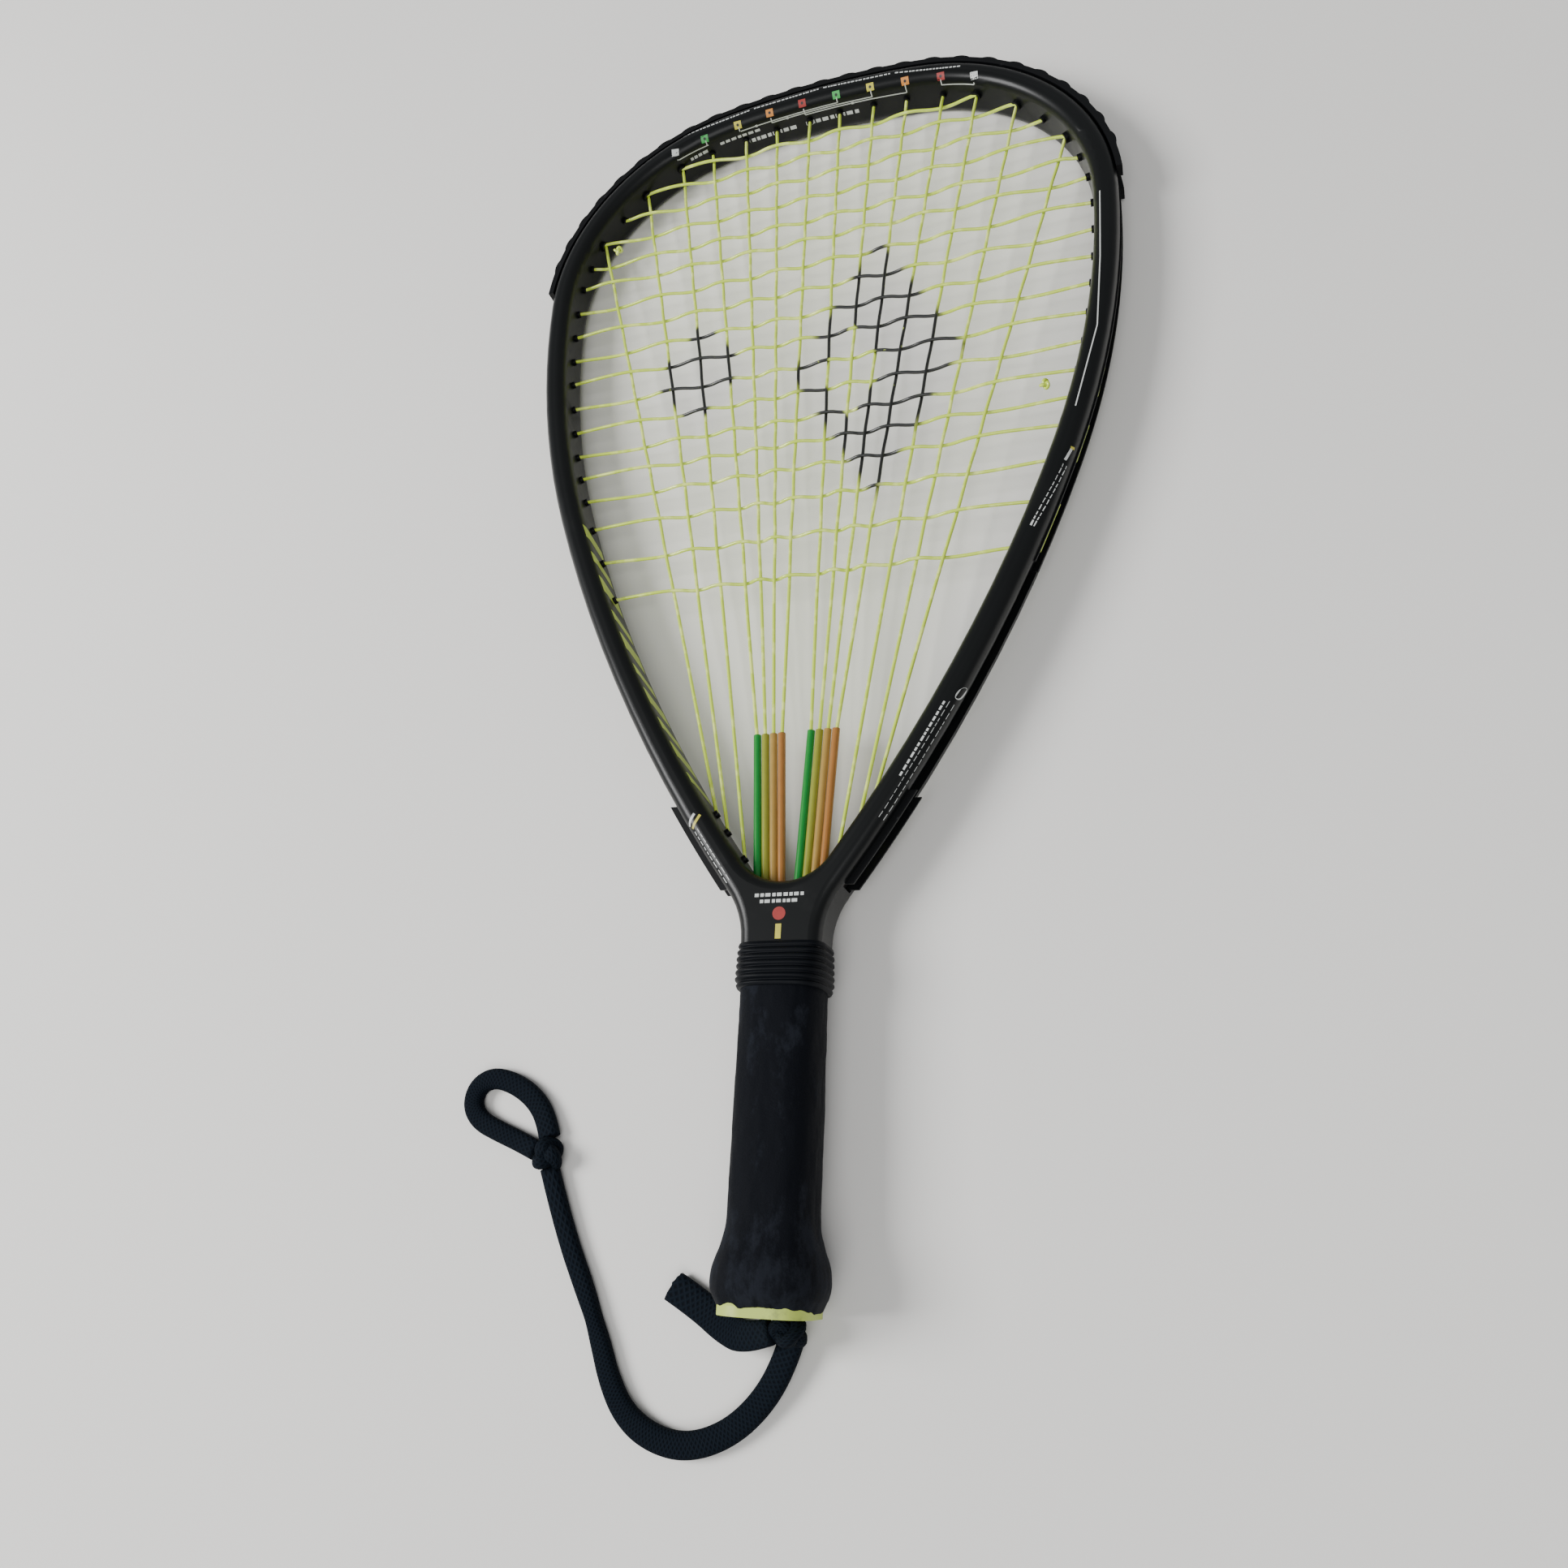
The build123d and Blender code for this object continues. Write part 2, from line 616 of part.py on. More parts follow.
# Collar: a ribbed rubber ring stretched over the grip's top edge and the neck
collar_top = (
    neck_width + 2 * collar_top_wall,
    tube_depth + 2 * collar_top_wall,
    tube_round + collar_top_wall,
)
collar_stations = [
    (collar_low_y, collar_width - lip_drop, collar_depth - lip_drop, collar_round),
    (collar_low_y + collar_lead, collar_width, collar_depth, collar_round),
    (handle_length, collar_width, collar_depth - 2 * lip_drop, grip_round),
    (collar_high_y, *collar_top),
]
with BuildPart() as collar:
    stack(collar_stations)
    for n in range(collar_grooves):
        y = collar_high_y - collar_edge - n * collar_rib_pitch
        up = max(0, (y - handle_length) / (collar_high_y - handle_length))
        width = collar_width + up * (collar_top[0] - collar_width) - 2 * collar_groove
        depth = collar_depth - 2 * lip_drop
        depth += up * (collar_top[1] - depth) - 2 * collar_groove
        with BuildSketch(across(y)):
            Rectangle(collar_width + overshoot, collar_depth + overshoot)
            RectangleRounded(width, depth, grip_round + up * (collar_top[2] - grip_round),
                             mode=Mode.SUBTRACT)
        extrude(amount=collar_groove_width, mode=Mode.SUBTRACT)
    with BuildSketch(across(collar_low_y - step_cut)):
        RectangleRounded(grip_width, grip_depth, grip_round)
    extrude(amount=grip_top_y - collar_low_y + step_cut, mode=Mode.SUBTRACT)
    with BuildSketch(across(collar_low_y)):
        RectangleRounded(shaft_width + fit, shaft_depth + fit, shaft_round)
    extrude(amount=handle_length - collar_low_y, mode=Mode.SUBTRACT)
    with BuildSketch(across(handle_length)):
        RectangleRounded(neck_width + neck_seat, tube_depth + neck_seat, tube_round)
    extrude(amount=collar_high_y - handle_length + step_cut, mode=Mode.SUBTRACT)
finish(collar, "rubber_collar")

# Wrist cord: a limp braid that hangs from a knot under the cap and lies on the surface. Its points
# are measured from the butt end, with z up from the surface.
ground = Plane(origin=(0, bed.origin.Y, 0))
laid = cord_diameter / 2 + cord_rest
run_points = [
    (4.5, -7.0, 7.0), (0.8, -17.0, 5.6), (-7.8, -29.4, 4.2), (-19.1, -38.6, laid),
    (-33.0, -43.4, laid), (-46.0, -41.6, laid), (-56.6, -35.5, laid), (-63.5, -25.4, laid),
    (-68.7, -12.3, laid), (-74.8, 0.8, laid), (-87.3, 23.8, laid), (-95.6, 45.0, laid),
]
tail_points = [
    (-1.5, -5.0, 12.5), (-11.5, -8.0, 8.0), (-20.5, -5.6, 4.6), (-30.5, 0.8, laid),
    (-41.3, 6.4, laid),
]
loop_points = [
    (-102.3, 51.2, laid), (-109.5, 54.2, laid), (-118.8, 57.6, laid), (-129.0, 61.8, laid),
    (-133.4, 68.0, laid), (-131.6, 75.2, laid), (-124.8, 78.6, laid), (-115.4, 76.4, laid),
    (-106.2, 71.2, laid), (-99.8, 63.6, laid), (-97.0, 56.1, laid),
]
for points, word in ((run_points, "run"), (tail_points, "tail"), (loop_points, "loop")):
    with BuildPart() as cord:
        length = tube(points, cord_diameter, ground)
    finish(cord, f"cord_{word}")
    radii = [round(radius, 1) for radius in bend_radii(points, 1000)]
    section = radians(180) * cord_diameter**2 / 4
    print("cord", word, "length", round(length, 1), "volume / section x length",
          round(cord.part.volume / (section * length), 4), "radii", radii)


def pocket(start, after):
    """A seat in a knot for the end of a cord."""
    rod(start, after, cord_diameter / 2, Mode.SUBTRACT, ground)


# Knot under the cap: the cord comes out of the cap's hole, and the run and the tail leave it
with BuildPart() as knot:
    with BuildSketch(Plane(bed * Plane(origin=(knot_center[0], 0, knot_center[1] - bed.origin.Z),
                                       x_dir=(1, 0, 0), z_dir=(0, -1, 0)))):
        RectangleRounded(knot_size[0], knot_size[2], knot_corner)
    extrude(amount=knot_size[1])
    fillet(knot.faces().sort_by(Axis.Y)[0].edges(), knot_round)
    rod((cord_hole_x, 0, cord_hole_z), (cord_hole_x, cap_wall, cord_hole_z), cord_diameter / 2)
    pocket(run_points[0], run_points[1])
    pocket(tail_points[0], tail_points[1])
finish(knot, "cord_knot")

# Knot at the far end, which closes the wrist loop
with BuildPart() as end_knot:
    with BuildSketch(Plane(ground * Plane(origin=(*end_knot_middle, cord_rest)))):
        RectangleRounded(end_knot_size[0], end_knot_size[1], end_knot_corner)
    extrude(amount=end_knot_size[2])
    fillet(end_knot.faces().sort_by(Axis.Z)[-1].edges(), end_knot_round)
    pocket(run_points[-1], run_points[-2])
    pocket(loop_points[0], loop_points[1])
    pocket(loop_points[-1], loop_points[-2])
finish(end_knot, "cord_end_knot")
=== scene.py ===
from math import atan2, cos, exp, radians, sin, tau
from random import Random

import bmesh
import bpy
from mathutils import Matrix, Vector, noise
from mathutils.bvhtree import BVHTree


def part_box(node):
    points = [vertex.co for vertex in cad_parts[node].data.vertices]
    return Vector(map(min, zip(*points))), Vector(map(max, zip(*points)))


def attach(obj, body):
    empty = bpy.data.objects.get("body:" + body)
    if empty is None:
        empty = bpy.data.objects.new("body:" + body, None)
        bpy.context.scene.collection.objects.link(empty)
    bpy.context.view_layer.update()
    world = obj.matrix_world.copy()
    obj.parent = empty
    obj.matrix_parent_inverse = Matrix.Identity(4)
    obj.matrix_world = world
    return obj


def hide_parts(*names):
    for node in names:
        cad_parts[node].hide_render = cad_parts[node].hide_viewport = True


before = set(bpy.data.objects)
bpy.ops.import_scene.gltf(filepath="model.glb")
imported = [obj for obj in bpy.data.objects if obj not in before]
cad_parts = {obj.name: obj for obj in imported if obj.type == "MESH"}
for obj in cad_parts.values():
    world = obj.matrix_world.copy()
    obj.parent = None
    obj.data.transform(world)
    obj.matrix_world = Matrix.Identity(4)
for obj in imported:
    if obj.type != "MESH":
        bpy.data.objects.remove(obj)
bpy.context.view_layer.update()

mm = 0.001


# Where the racket lies. It rests on its grip flare and on the rim of the head, so its string bed
# leans a little. The bed's own axes are x across, y up from the butt end and z out of the strings.
def middle(node):
    """Middle of a CAD node's box."""
    low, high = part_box(node)
    return (low + high) / 2


anchor_from_butt = 12.1 * mm
anchor, guard = middle("string_anchor"), middle("head_guard")
lean = atan2(anchor.z - guard.z, guard.y - anchor.y)
bed = (
    Matrix.Translation(anchor)
    @ Matrix.Rotation(-lean, 4, "X")
    @ Matrix.Translation((0, -anchor_from_butt, 0))
)
butt = Vector((0, bed.translation.y, 0))


def on_bed(x, y, z=0.0):
    """A point in the bed's own axes, given in millimetres."""
    return bed @ (Vector((x, y, z)) * mm)


# Camera: held by hand over the butt end, on the right, looking along the handle to the head.
camera_place = Vector((137.1, 23.5, 403.2)) * mm
camera_right = Vector((0.9485, 0.0461, -0.3133))
camera_look = Vector((-0.3083, 0.3613, -0.8800))
camera_lens = 27.04

camera_up = camera_right.cross(camera_look).normalized()
camera_right = camera_look.cross(camera_up).normalized()
camera_turn = Matrix((camera_right, camera_up, -camera_look.normalized())).transposed()
camera_data = bpy.data.cameras.new("camera")
camera_data.lens = camera_lens
camera_data.sensor_width = 36
camera_data.clip_start = 0.01
camera = bpy.data.objects.new("camera", camera_data)
camera.matrix_world = bed @ Matrix.Translation(camera_place) @ camera_turn.to_4x4()
bpy.context.collection.objects.link(camera)
bpy.context.scene.camera = camera


# Stage: a plain pale floor under soft light from the upper left. Like every surface here, the floor
# has a Finish, which is one material. A Level is one value inside a finish: sums and products of
# levels add the nodes that work them out.
class Level:
    def __init__(self, finish, socket):
        self.finish = finish
        self.socket = socket

    def math(self, operation, *values):
        inputs = dict(enumerate(values))
        return self.finish.node("Math", {"operation": operation}, inputs)

    def __add__(self, other):
        return self.math("ADD", self, other)

    def __sub__(self, other):
        return self.math("SUBTRACT", self, other)

    def __rsub__(self, other):
        return self.math("SUBTRACT", other, self)

    def __mul__(self, other):
        return self.math("MULTIPLY", self, other)

    def __truediv__(self, other):
        return self.math("DIVIDE", self, other)

    __radd__ = __add__

    def size(self):
        return self.math("ABSOLUTE", self)

    def wave(self):
        return self.math("SINE", self)

    def most(self, other):
        return self.math("MAXIMUM", self, other)


class Finish:
    def __init__(self, name, constants):
        self.material = bpy.data.materials.new(name)
        self.material.use_nodes = True
        self.tree = self.material.node_tree
        self.surface = self.tree.nodes["Principled BSDF"]
        for key, value in constants.items():
            self.give(self.surface.inputs[key], value)

    def give(self, socket, value):
        """Set a socket to a number or colour, or link a level to it."""
        if isinstance(value, Level):
            self.tree.links.new(value.socket, socket)
        elif isinstance(value, tuple) and len(value) == 3 and socket.type == "RGBA":
            socket.default_value = (*value, 1)
        else:
            socket.default_value = value

    def node(self, kind, settings=None, inputs=None, out=0):
        """Any node, with its settings made first, then its sockets."""
        made = self.tree.nodes.new("ShaderNode" + kind)
        for key, value in (settings or {}).items():
            setattr(made, key, value)
        for key, value in (inputs or {}).items():
            self.give(made.inputs[key], value)
        return Level(self, made.outputs[out])

    def place(self, scale=(1, 1, 1), turn=(0, 0, 0), kind=3):
        """Object coordinates in metres, stretched and turned, or the piece's own UV with kind 2."""
        coordinates = self.node("TexCoord", out=kind)
        return self.node("Mapping", {}, {"Vector": coordinates, "Rotation": turn, "Scale": scale})

    def axes(self, place):
        """The three numbers of a place."""
        split = self.tree.nodes.new("ShaderNodeSeparateXYZ")
        self.give(split.inputs[0], place)
        return [Level(self, socket) for socket in split.outputs]

    def grain(self, scale, detail=4.0, rough=0.5, place=None):
        """Cloudy noise from 0 to 1, of this many clouds a metre."""
        place = place or self.node("TexCoord", out=3)
        inputs = {"Vector": place, "Scale": scale, "Detail": detail, "Roughness": rough}
        return self.node("TexNoise", {}, inputs)

    def step(self, level, low, high):
        """0 below one value, 1 above the other, and smooth between them."""
        settings = {"interpolation_type": "SMOOTHSTEP"}
        return self.node("MapRange", settings, {0: level, 1: low, 2: high})

    def blend(self, share, first, second):
        """From one colour to another."""
        inputs = {0: share, 6: first, 7: second}
        return self.node("Mix", {"data_type": "RGBA"}, inputs, out=2)

    def colour(self, value):
        self.give(self.surface.inputs["Base Color"], value)

    def rough(self, value):
        self.give(self.surface.inputs["Roughness"], value)

    def relief(self, height, depth, strength=1.0):
        """Bumps of this depth in metres."""
        bump = self.node("Bump", {}, {"Strength": strength, "Distance": depth, "Height": height})
        self.give(self.surface.inputs["Normal"], bump)


floor_reach = 4
floor_finish = Finish("stage_floor", {"Roughness": 0.9, "Specular IOR Level": 0.2})
floor_finish.colour(
    floor_finish.blend(floor_finish.grain(3.0), (0.80, 0.785, 0.755), (0.84, 0.825, 0.795))
)
floor_shape = bmesh.new()
bmesh.ops.create_grid(floor_shape, x_segments=1, y_segments=1, size=floor_reach)
floor_data = bpy.data.meshes.new("floor")
floor_shape.to_mesh(floor_data)
floor_shape.free()
floor_data.materials.append(floor_finish.material)
floor = bpy.data.objects.new("floor", floor_data)
bpy.context.collection.objects.link(floor)


def soft_light(name, place, size, power):
    """A square lamp that faces the middle of the racket."""
    lamp = bpy.data.lights.new(name, "AREA")
    lamp.size = size
    lamp.energy = power
    holder = bpy.data.objects.new(name, lamp)
    holder.location = place
    holder.rotation_euler = (-Vector(place)).to_track_quat("-Z", "Y").to_euler()
    bpy.context.collection.objects.link(holder)


soft_light("window", (-1.7, -0.1, 1.5), 1.0, 62)
soft_light("ceiling", (0.3, -1.2, 2.0), 1.6, 26)
world = bpy.data.worlds.new("room")
world.use_nodes = True
world.node_tree.nodes["Background"].inputs["Color"].default_value = (0.95, 0.97, 1, 1)
world.node_tree.nodes["Background"].inputs["Strength"].default_value = 0.34
bpy.context.scene.world = world

# Wrist cord: a limp navy-black braid, woven as a tube and pressed flat. It comes out of the butt cap
# to a knot, lies round in a wide hook, and ends in a small wrist loop closed by a second knot.
braid_width = 8.8 * mm
braid_thickness = 5.0 * mm
run_points = [
    (4.5, -7.0, 7.0), (0.8, -17.0, 5.2), (-7.8, -29.4, 3.4), (-19.1, -38.6, 2.8),
    (-33.0, -43.4, 2.8), (-46.0, -41.6, 2.8), (-56.6, -35.5, 2.8), (-63.5, -25.4, 2.8),
    (-68.7, -12.3, 2.8), (-74.8, 0.8, 2.8), (-87.3, 23.8, 2.8), (-95.6, 45.0, 3.4),
]
tail_points = [
    (-1.5, -5.0, 12.5), (-11.5, -8.0, 8.0), (-20.5, -5.6, 4.6), (-30.5, 0.8, 3.0),
    (-41.3, 6.4, 2.9),
]
loop_points = [
    (-102.3, 51.2, 3.4), (-109.5, 54.2, 2.8), (-118.8, 57.6, 2.8), (-129.0, 61.8, 2.8),
    (-133.4, 68.0, 2.8), (-131.6, 75.2, 2.8), (-124.8, 78.6, 2.8), (-115.4, 76.4, 2.8),
    (-106.2, 71.2, 2.8), (-99.8, 63.6, 2.8), (-97.0, 56.1, 3.4),
]

cord_finish = Finish("cord_braid", {"Roughness": 0.8, "Specular IOR Level": 0.06})
plait_u, plait_v, _ = cord_finish.axes(cord_finish.place(kind=2))
plait_pitch = 1.9 * mm
plaits_round = 11
lean_one = (plait_u / plait_pitch + plait_v * plaits_round) * tau
lean_two = (plait_u / plait_pitch - plait_v * plaits_round) * tau
plait_height = lean_one.wave().most(lean_two.wave()) * 0.5 + 0.5
fuzz = cord_finish.grain(2600, 3)
cord_worn = cord_finish.grain(90, 3)
# Painted shade and painted highlight: the braid is coloured darker in the hollows between its plaits
# and lighter on their crests, following the same plait height that makes the bumps, with a little
# random fuzz on top.
plait_painted_shade = plait_height * 0.8 + fuzz * 0.2
cord_with_painted_plait_shade = cord_finish.blend(plait_painted_shade, (0.0006, 0.0010, 0.0020), (0.0048, 0.0085, 0.0140))
cord_finish.colour(cord_finish.blend(cord_worn * 0.35, cord_with_painted_plait_shade, (0.008, 0.011, 0.016)))
cord_finish.relief(plait_height * 0.75 + fuzz * 0.25, 0.35 * mm)
same_spot = 1e-6


def finished(name, shape, finish):
    """An object of the racket from a bmesh."""
    for face in shape.faces:
        face.smooth = True
    data = bpy.data.meshes.new(name)
    shape.to_mesh(data)
    shape.free()
    data.materials.append(finish.material)
    piece = bpy.data.objects.new(name, data)
    bpy.context.collection.objects.link(piece)
    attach(piece, "root")
    return piece


def bent_grid(name, along, around, place, finish, tube=False):
    """A piece from a grid of faces, each point moved to place(u, v), with u and v from 0 to 1. A
    tube is closed round v, and any open end is filled. The piece keeps u and v as its UV map."""
    shape = bmesh.new()
    uv = shape.loops.layers.uv.new("UVMap")
    bmesh.ops.create_grid(shape, x_segments=along, y_segments=around, size=0.5, calc_uvs=True)
    for vertex in shape.verts:
        vertex.co = place(vertex.co.x + 0.5, vertex.co.y + 0.5)
    if tube:
        bmesh.ops.remove_doubles(shape, verts=shape.verts, dist=same_spot)
        bmesh.ops.holes_fill(shape, edges=shape.edges, sides=0)
        bmesh.ops.recalc_face_normals(shape, faces=shape.faces)
    return finished(name, shape, finish)


def from_butt(points):
    """Points in millimetres from the butt end, with z up from the floor."""
    return [butt + Vector(point) * mm for point in points]


def spline_line(points):
    """Points along the smooth line that these points draw."""
    route = bpy.data.curves.new("route", "CURVE")
    route.dimensions = "3D"
    route.resolution_u = 12
    spline = route.splines.new("NURBS")
    spline.points.add(len(points) - 1)
    for control, point in zip(spline.points, points):
        control.co = (*point, 1)
    spline.order_u = 3
    spline.use_endpoint_u = True
    holder = bpy.data.objects.new("route", route)
    data = bpy.data.meshes.new_from_object(holder)
    line = [vertex.co.copy() for vertex in data.vertices]
    bpy.data.objects.remove(holder)
    bpy.data.curves.remove(route)
    bpy.data.meshes.remove(data)
    return line


def line_length(line):
    return sum((b - a).length for a, b in zip(line, line[1:]))


def flat_braid(
    name, line, width, thickness, around=20, closed=False, ragged=0.0, up=Vector((0, 0, 1)),
    finish=cord_finish, slot="cord_nylon"
):
    """A pressed tube of braid along a line. width and thickness are functions of the share of the
    length, and ragged is how far the threads of a cut end stick out."""
    steps = len(line) - 1
    total = line_length(line)
    squareness = 3
    thread_spread = 3

    def place(u, v):
        k = round(u * steps)
        before, after = line[max(k - 1, 0)], line[min(k + 1, steps)]
        if closed and k in (0, steps):
            before, after = line[steps - 1], line[1]
        ahead = (after - before).normalized()
        side = ahead.cross(up).normalized()
        top = side.cross(ahead)
        c, s = cos(tau * v), sin(tau * v)
        reach = (abs(c) ** squareness + abs(s) ** squareness) ** (-1 / squareness) / 2
        spot = line[k] + side * (c * reach * width(u)) + top * (s * reach * thickness(u))
        if ragged and k == steps:
            thread = Vector((c * thread_spread, s * thread_spread, 0.5))
            spot += ahead * (ragged * noise.noise(thread))
        return spot

    piece = bent_grid(name, steps, around, place, finish, tube=True)
    for coordinate in piece.data.uv_layers[0].data:
        coordinate.uv.x *= total
    return piece


def knot(name, center, turn, size, width, thickness, steps=96, around=14, **made_of):
    """A cord drawn up into a tight knot, as a three-lobed winding that closes on itself."""
    line = []
    for k in range(steps + 1):
        t = tau * k / steps
        lobe = Vector((sin(t) + 2 * sin(2 * t), cos(t) - 2 * cos(2 * t), -sin(3 * t)))
        line.append(center + turn @ Vector(a * b * mm for a, b in zip(lobe, size)))
    return flat_braid(
        name, line, lambda u: width * mm, lambda u: thickness * mm, around, closed=True,
        up=turn @ Vector((0, 0, 1)), **made_of
    )


def hump(value, center, reach):
    """1 at the center, and fading away on both sides of it."""
    return exp(-(((value - center) / reach) ** 2))


run_on_edge = 0.8
drawn_from, drawn_over = 0.5, 0.22


def run_width(u):
    """The run is drawn narrower on its way to the far knot, and pinched where it turns on edge."""
    drawn = min(1, max(0, (u - drawn_from) / drawn_over))
    return braid_width - (1.5 * drawn + 1.3 * hump(u, run_on_edge, 0.045)) * mm


def run_thickness(u):
    """The run stands higher where it turns on edge."""
    return braid_thickness + 0.7 * mm * hump(u, run_on_edge, 0.05)


run_line = spline_line(from_butt(run_points))
cord_run = flat_braid("wrist_cord", run_line, run_width, run_thickness)
tail_line = spline_line(from_butt(tail_points))
cord_tail = flat_braid(
    "wrist_cord_tail", tail_line, lambda u: (8.6 + 2.2 * min(1, 3 * u)) * mm,
    lambda u: 4.4 * mm, around=28, ragged=1.6 * mm
)
loop_line = spline_line(from_butt(loop_points))
cord_loop = flat_braid(
    "wrist_loop", loop_line, lambda u: (7.6 + 0.8 * u) * mm, lambda u: braid_thickness
)
cap_knot = knot(
    "knot_under_cap", butt + Vector((4.6, -4.9, 11.0)) * mm,
    Matrix.Rotation(radians(90), 3, "X") @ Matrix.Rotation(radians(20), 3, "Z"),
    (1.35, 1.3, 2.38), width=6.4, thickness=4.4
)
far_knot = knot(
    "wrist_loop_knot", butt + Vector((-96.0, 49.5, 5.0)) * mm,
    Matrix.Rotation(radians(55), 3, "Z"), (1.25, 1.25, 2.24), width=6.0, thickness=4.2
)
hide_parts("cord_run")
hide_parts("cord_tail")
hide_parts("cord_loop")
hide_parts("cord_knot")
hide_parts("cord_end_knot")
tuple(run_line[0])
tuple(tail_line[0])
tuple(loop_line[0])


# Frame: one hollow carbon fibre moulding under satin black lacquer, from the head's crown down to the
# shaft inside the handle. Everything else is strung through it, set into it or pushed over it.
lacquer = Finish(
    "black_lacquer", {"Coat Roughness": 0.22, "Coat IOR": 1.4, "Specular IOR Level": 0.22}
)
cloud = lacquer.grain(22, 3)
lacquer.colour(lacquer.blend(cloud, (0.0018, 0.0024, 0.0024), (0.0036, 0.0044, 0.0046)))
handled = lacquer.step(lacquer.grain(34, 6, 0.62), 0.56, 0.72)
lacquer.rough(0.36 + handled * 0.12)
lacquer.give(lacquer.surface.inputs["Coat Weight"], 0.16 - handled * 0.1)
scratch = lacquer.grain(60, 2, 0.5, lacquer.place((1, 22, 6), (0, 0, radians(28))))
scratches = lacquer.step(scratch, 0.66, 0.7)
lacquer.relief(lacquer.grain(900, 2) * 0.4 + scratches * 0.2, 0.05 * mm, 0.35)


def coat(node, finish):
    """Give a CAD node its finish."""
    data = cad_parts[node].data
    data.materials.clear()
    data.materials.append(finish.material)


coat("frame", lacquer)

# Marks printed on the lacquer: each is a thin skin of ink that follows the nearest face of the tube.
print_lift = 0.06 * mm
frame_shape = bmesh.new()
frame_shape.from_mesh(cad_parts["frame"].data)
tube_face = BVHTree.FromBMesh(frame_shape)
frame_shape.free()


def laid_on(point, lift=print_lift):
    """The nearest point of the frame's face, lifted a little off it."""
    spot, normal, _, _ = tube_face.find_nearest(point)
    return spot + normal * lift


def stripe(name, points, width, finish, pieces=6):
    """A thin printed line that follows the frame through these points of the bed."""
    path = [on_bed(*point) for point in points]
    runs = len(path) - 1

    def place(u, v):
        share = u * runs
        k = min(int(share), runs - 1)
        along = path[k].lerp(path[k + 1], share - k)
        ahead = (path[k + 1] - path[k]).normalized()
        spot, normal, _, _ = tube_face.find_nearest(along)
        side = normal.cross(ahead).normalized()
        return laid_on(spot + side * ((v - 0.5) * width * mm))

    return bent_grid(name, pieces * runs, 1, place, finish)


def dot(name, point, size, finish, corners=4, lift=print_lift, turn=45, stretch=1.0):
    """A small printed square, or a rounder shape with more corners."""
    spot, normal, _, _ = tube_face.find_nearest(on_bed(*point))
    ahead = bed.to_3x3() @ Vector((1, 0, 0))
    ahead = (ahead - normal * ahead.dot(normal)).normalized()
    side = normal.cross(ahead)
    shape = bmesh.new()
    bmesh.ops.create_circle(shape, cap_ends=True, segments=corners, radius=size / 2 * mm)
    bmesh.ops.subdivide_edges(shape, edges=shape.edges, cuts=2, use_grid_fill=True)
    bmesh.ops.triangulate(shape, faces=shape.faces)
    bmesh.ops.rotate(shape, verts=shape.verts, matrix=Matrix.Rotation(radians(turn), 3, "Z"))
    for vertex in shape.verts:
        flat = spot + ahead * (vertex.co.x * stretch) + side * vertex.co.y
        vertex.co = laid_on(flat, lift)
    bmesh.ops.recalc_face_normals(shape, faces=shape.faces)
    return finished(name, shape, finish)


def ink(name, colour):
    """A printed ink, worn a little darker in specks."""
    paint = Finish(name, {"Roughness": 0.45})
    worn = paint.grain(420, 4)
    paint.colour(paint.blend(worn, colour, tuple(0.72 * part for part in colour)))
    return paint


white_ink = ink("white_ink", (0.66, 0.68, 0.66))
inks = {
    "green": ink("green_ink", (0.05, 0.42, 0.09)),
    "yellow": ink("yellow_ink", (0.62, 0.56, 0.06)),
    "orange": ink("orange_ink", (0.7, 0.26, 0.04)),
    "red": ink("red_ink", (0.36, 0.03, 0.025)),
    "white": white_ink,
}
lime_ink = ink("lime_ink", (0.50, 0.62, 0.08))
dark_ink = ink("dark_ink", (0.012, 0.012, 0.012))
crown_marks = [
    ("white", -75.8, 534.3, 9.7), ("green", -60.5, 539.6, 9.0), ("yellow", -42.9, 543.2, 9.0),
    ("orange", -26.0, 545.4, 9.4), ("red", -9.1, 546.2, 9.4), ("green", 8.3, 546.0, 9.2),
    ("yellow", 25.4, 545.2, 9.3), ("orange", 42.6, 543.3, 9.0), ("red", 59.9, 540.0, 9.2),
    ("white", 75.7, 534.3, 9.7),
]
square_size, square_dot_size = 5.2, 1.3
for n, (colour, *place) in enumerate(crown_marks):
    dot(f"crown_mark_{n}", place, square_size, inks[colour])
    if colour != "white":
        dot(f"crown_mark_dot_{n}", place, square_dot_size, dark_ink, 12, lift=2 * print_lift)

# Thin brackets run along the inner wall, each from one square to the next of its kind, and a thin
# line drops to them from every square.
brackets = [
    [(-75.0, 532.6, 6.4), (-68.0, 535.6, 6.1), (-59.6, 538.8, 5.7)],
    [(59.6, 538.8, 5.7), (68.0, 535.8, 6.1), (75.1, 532.6, 6.4)],
    [(-42.2, 541.9, 5.9), (-26.0, 543.9, 5.9), (-9.0, 544.8, 5.9), (8.0, 544.8, 5.9)],
    [(-26.0, 543.6, 4.9), (-9.0, 544.6, 4.9), (8.0, 544.6, 4.9), (25.4, 543.6, 4.9)],
    [(-9.0, 544.4, 3.8), (8.0, 544.4, 3.8), (25.4, 543.5, 3.8), (42.2, 542.0, 3.7)],
]
bracket_line, thin_line = 0.55, 0.5
for n, points in enumerate(brackets):
    stripe(f"crown_bracket_{n}", points, bracket_line, white_ink)
for n, place in enumerate([(-34.0, 543.0, 5.9), (-18.0, 544.3, 4.9), (15.2, 544.2, 3.8)]):
    dot(f"bracket_dot_{n}", place, 1.6, white_ink)
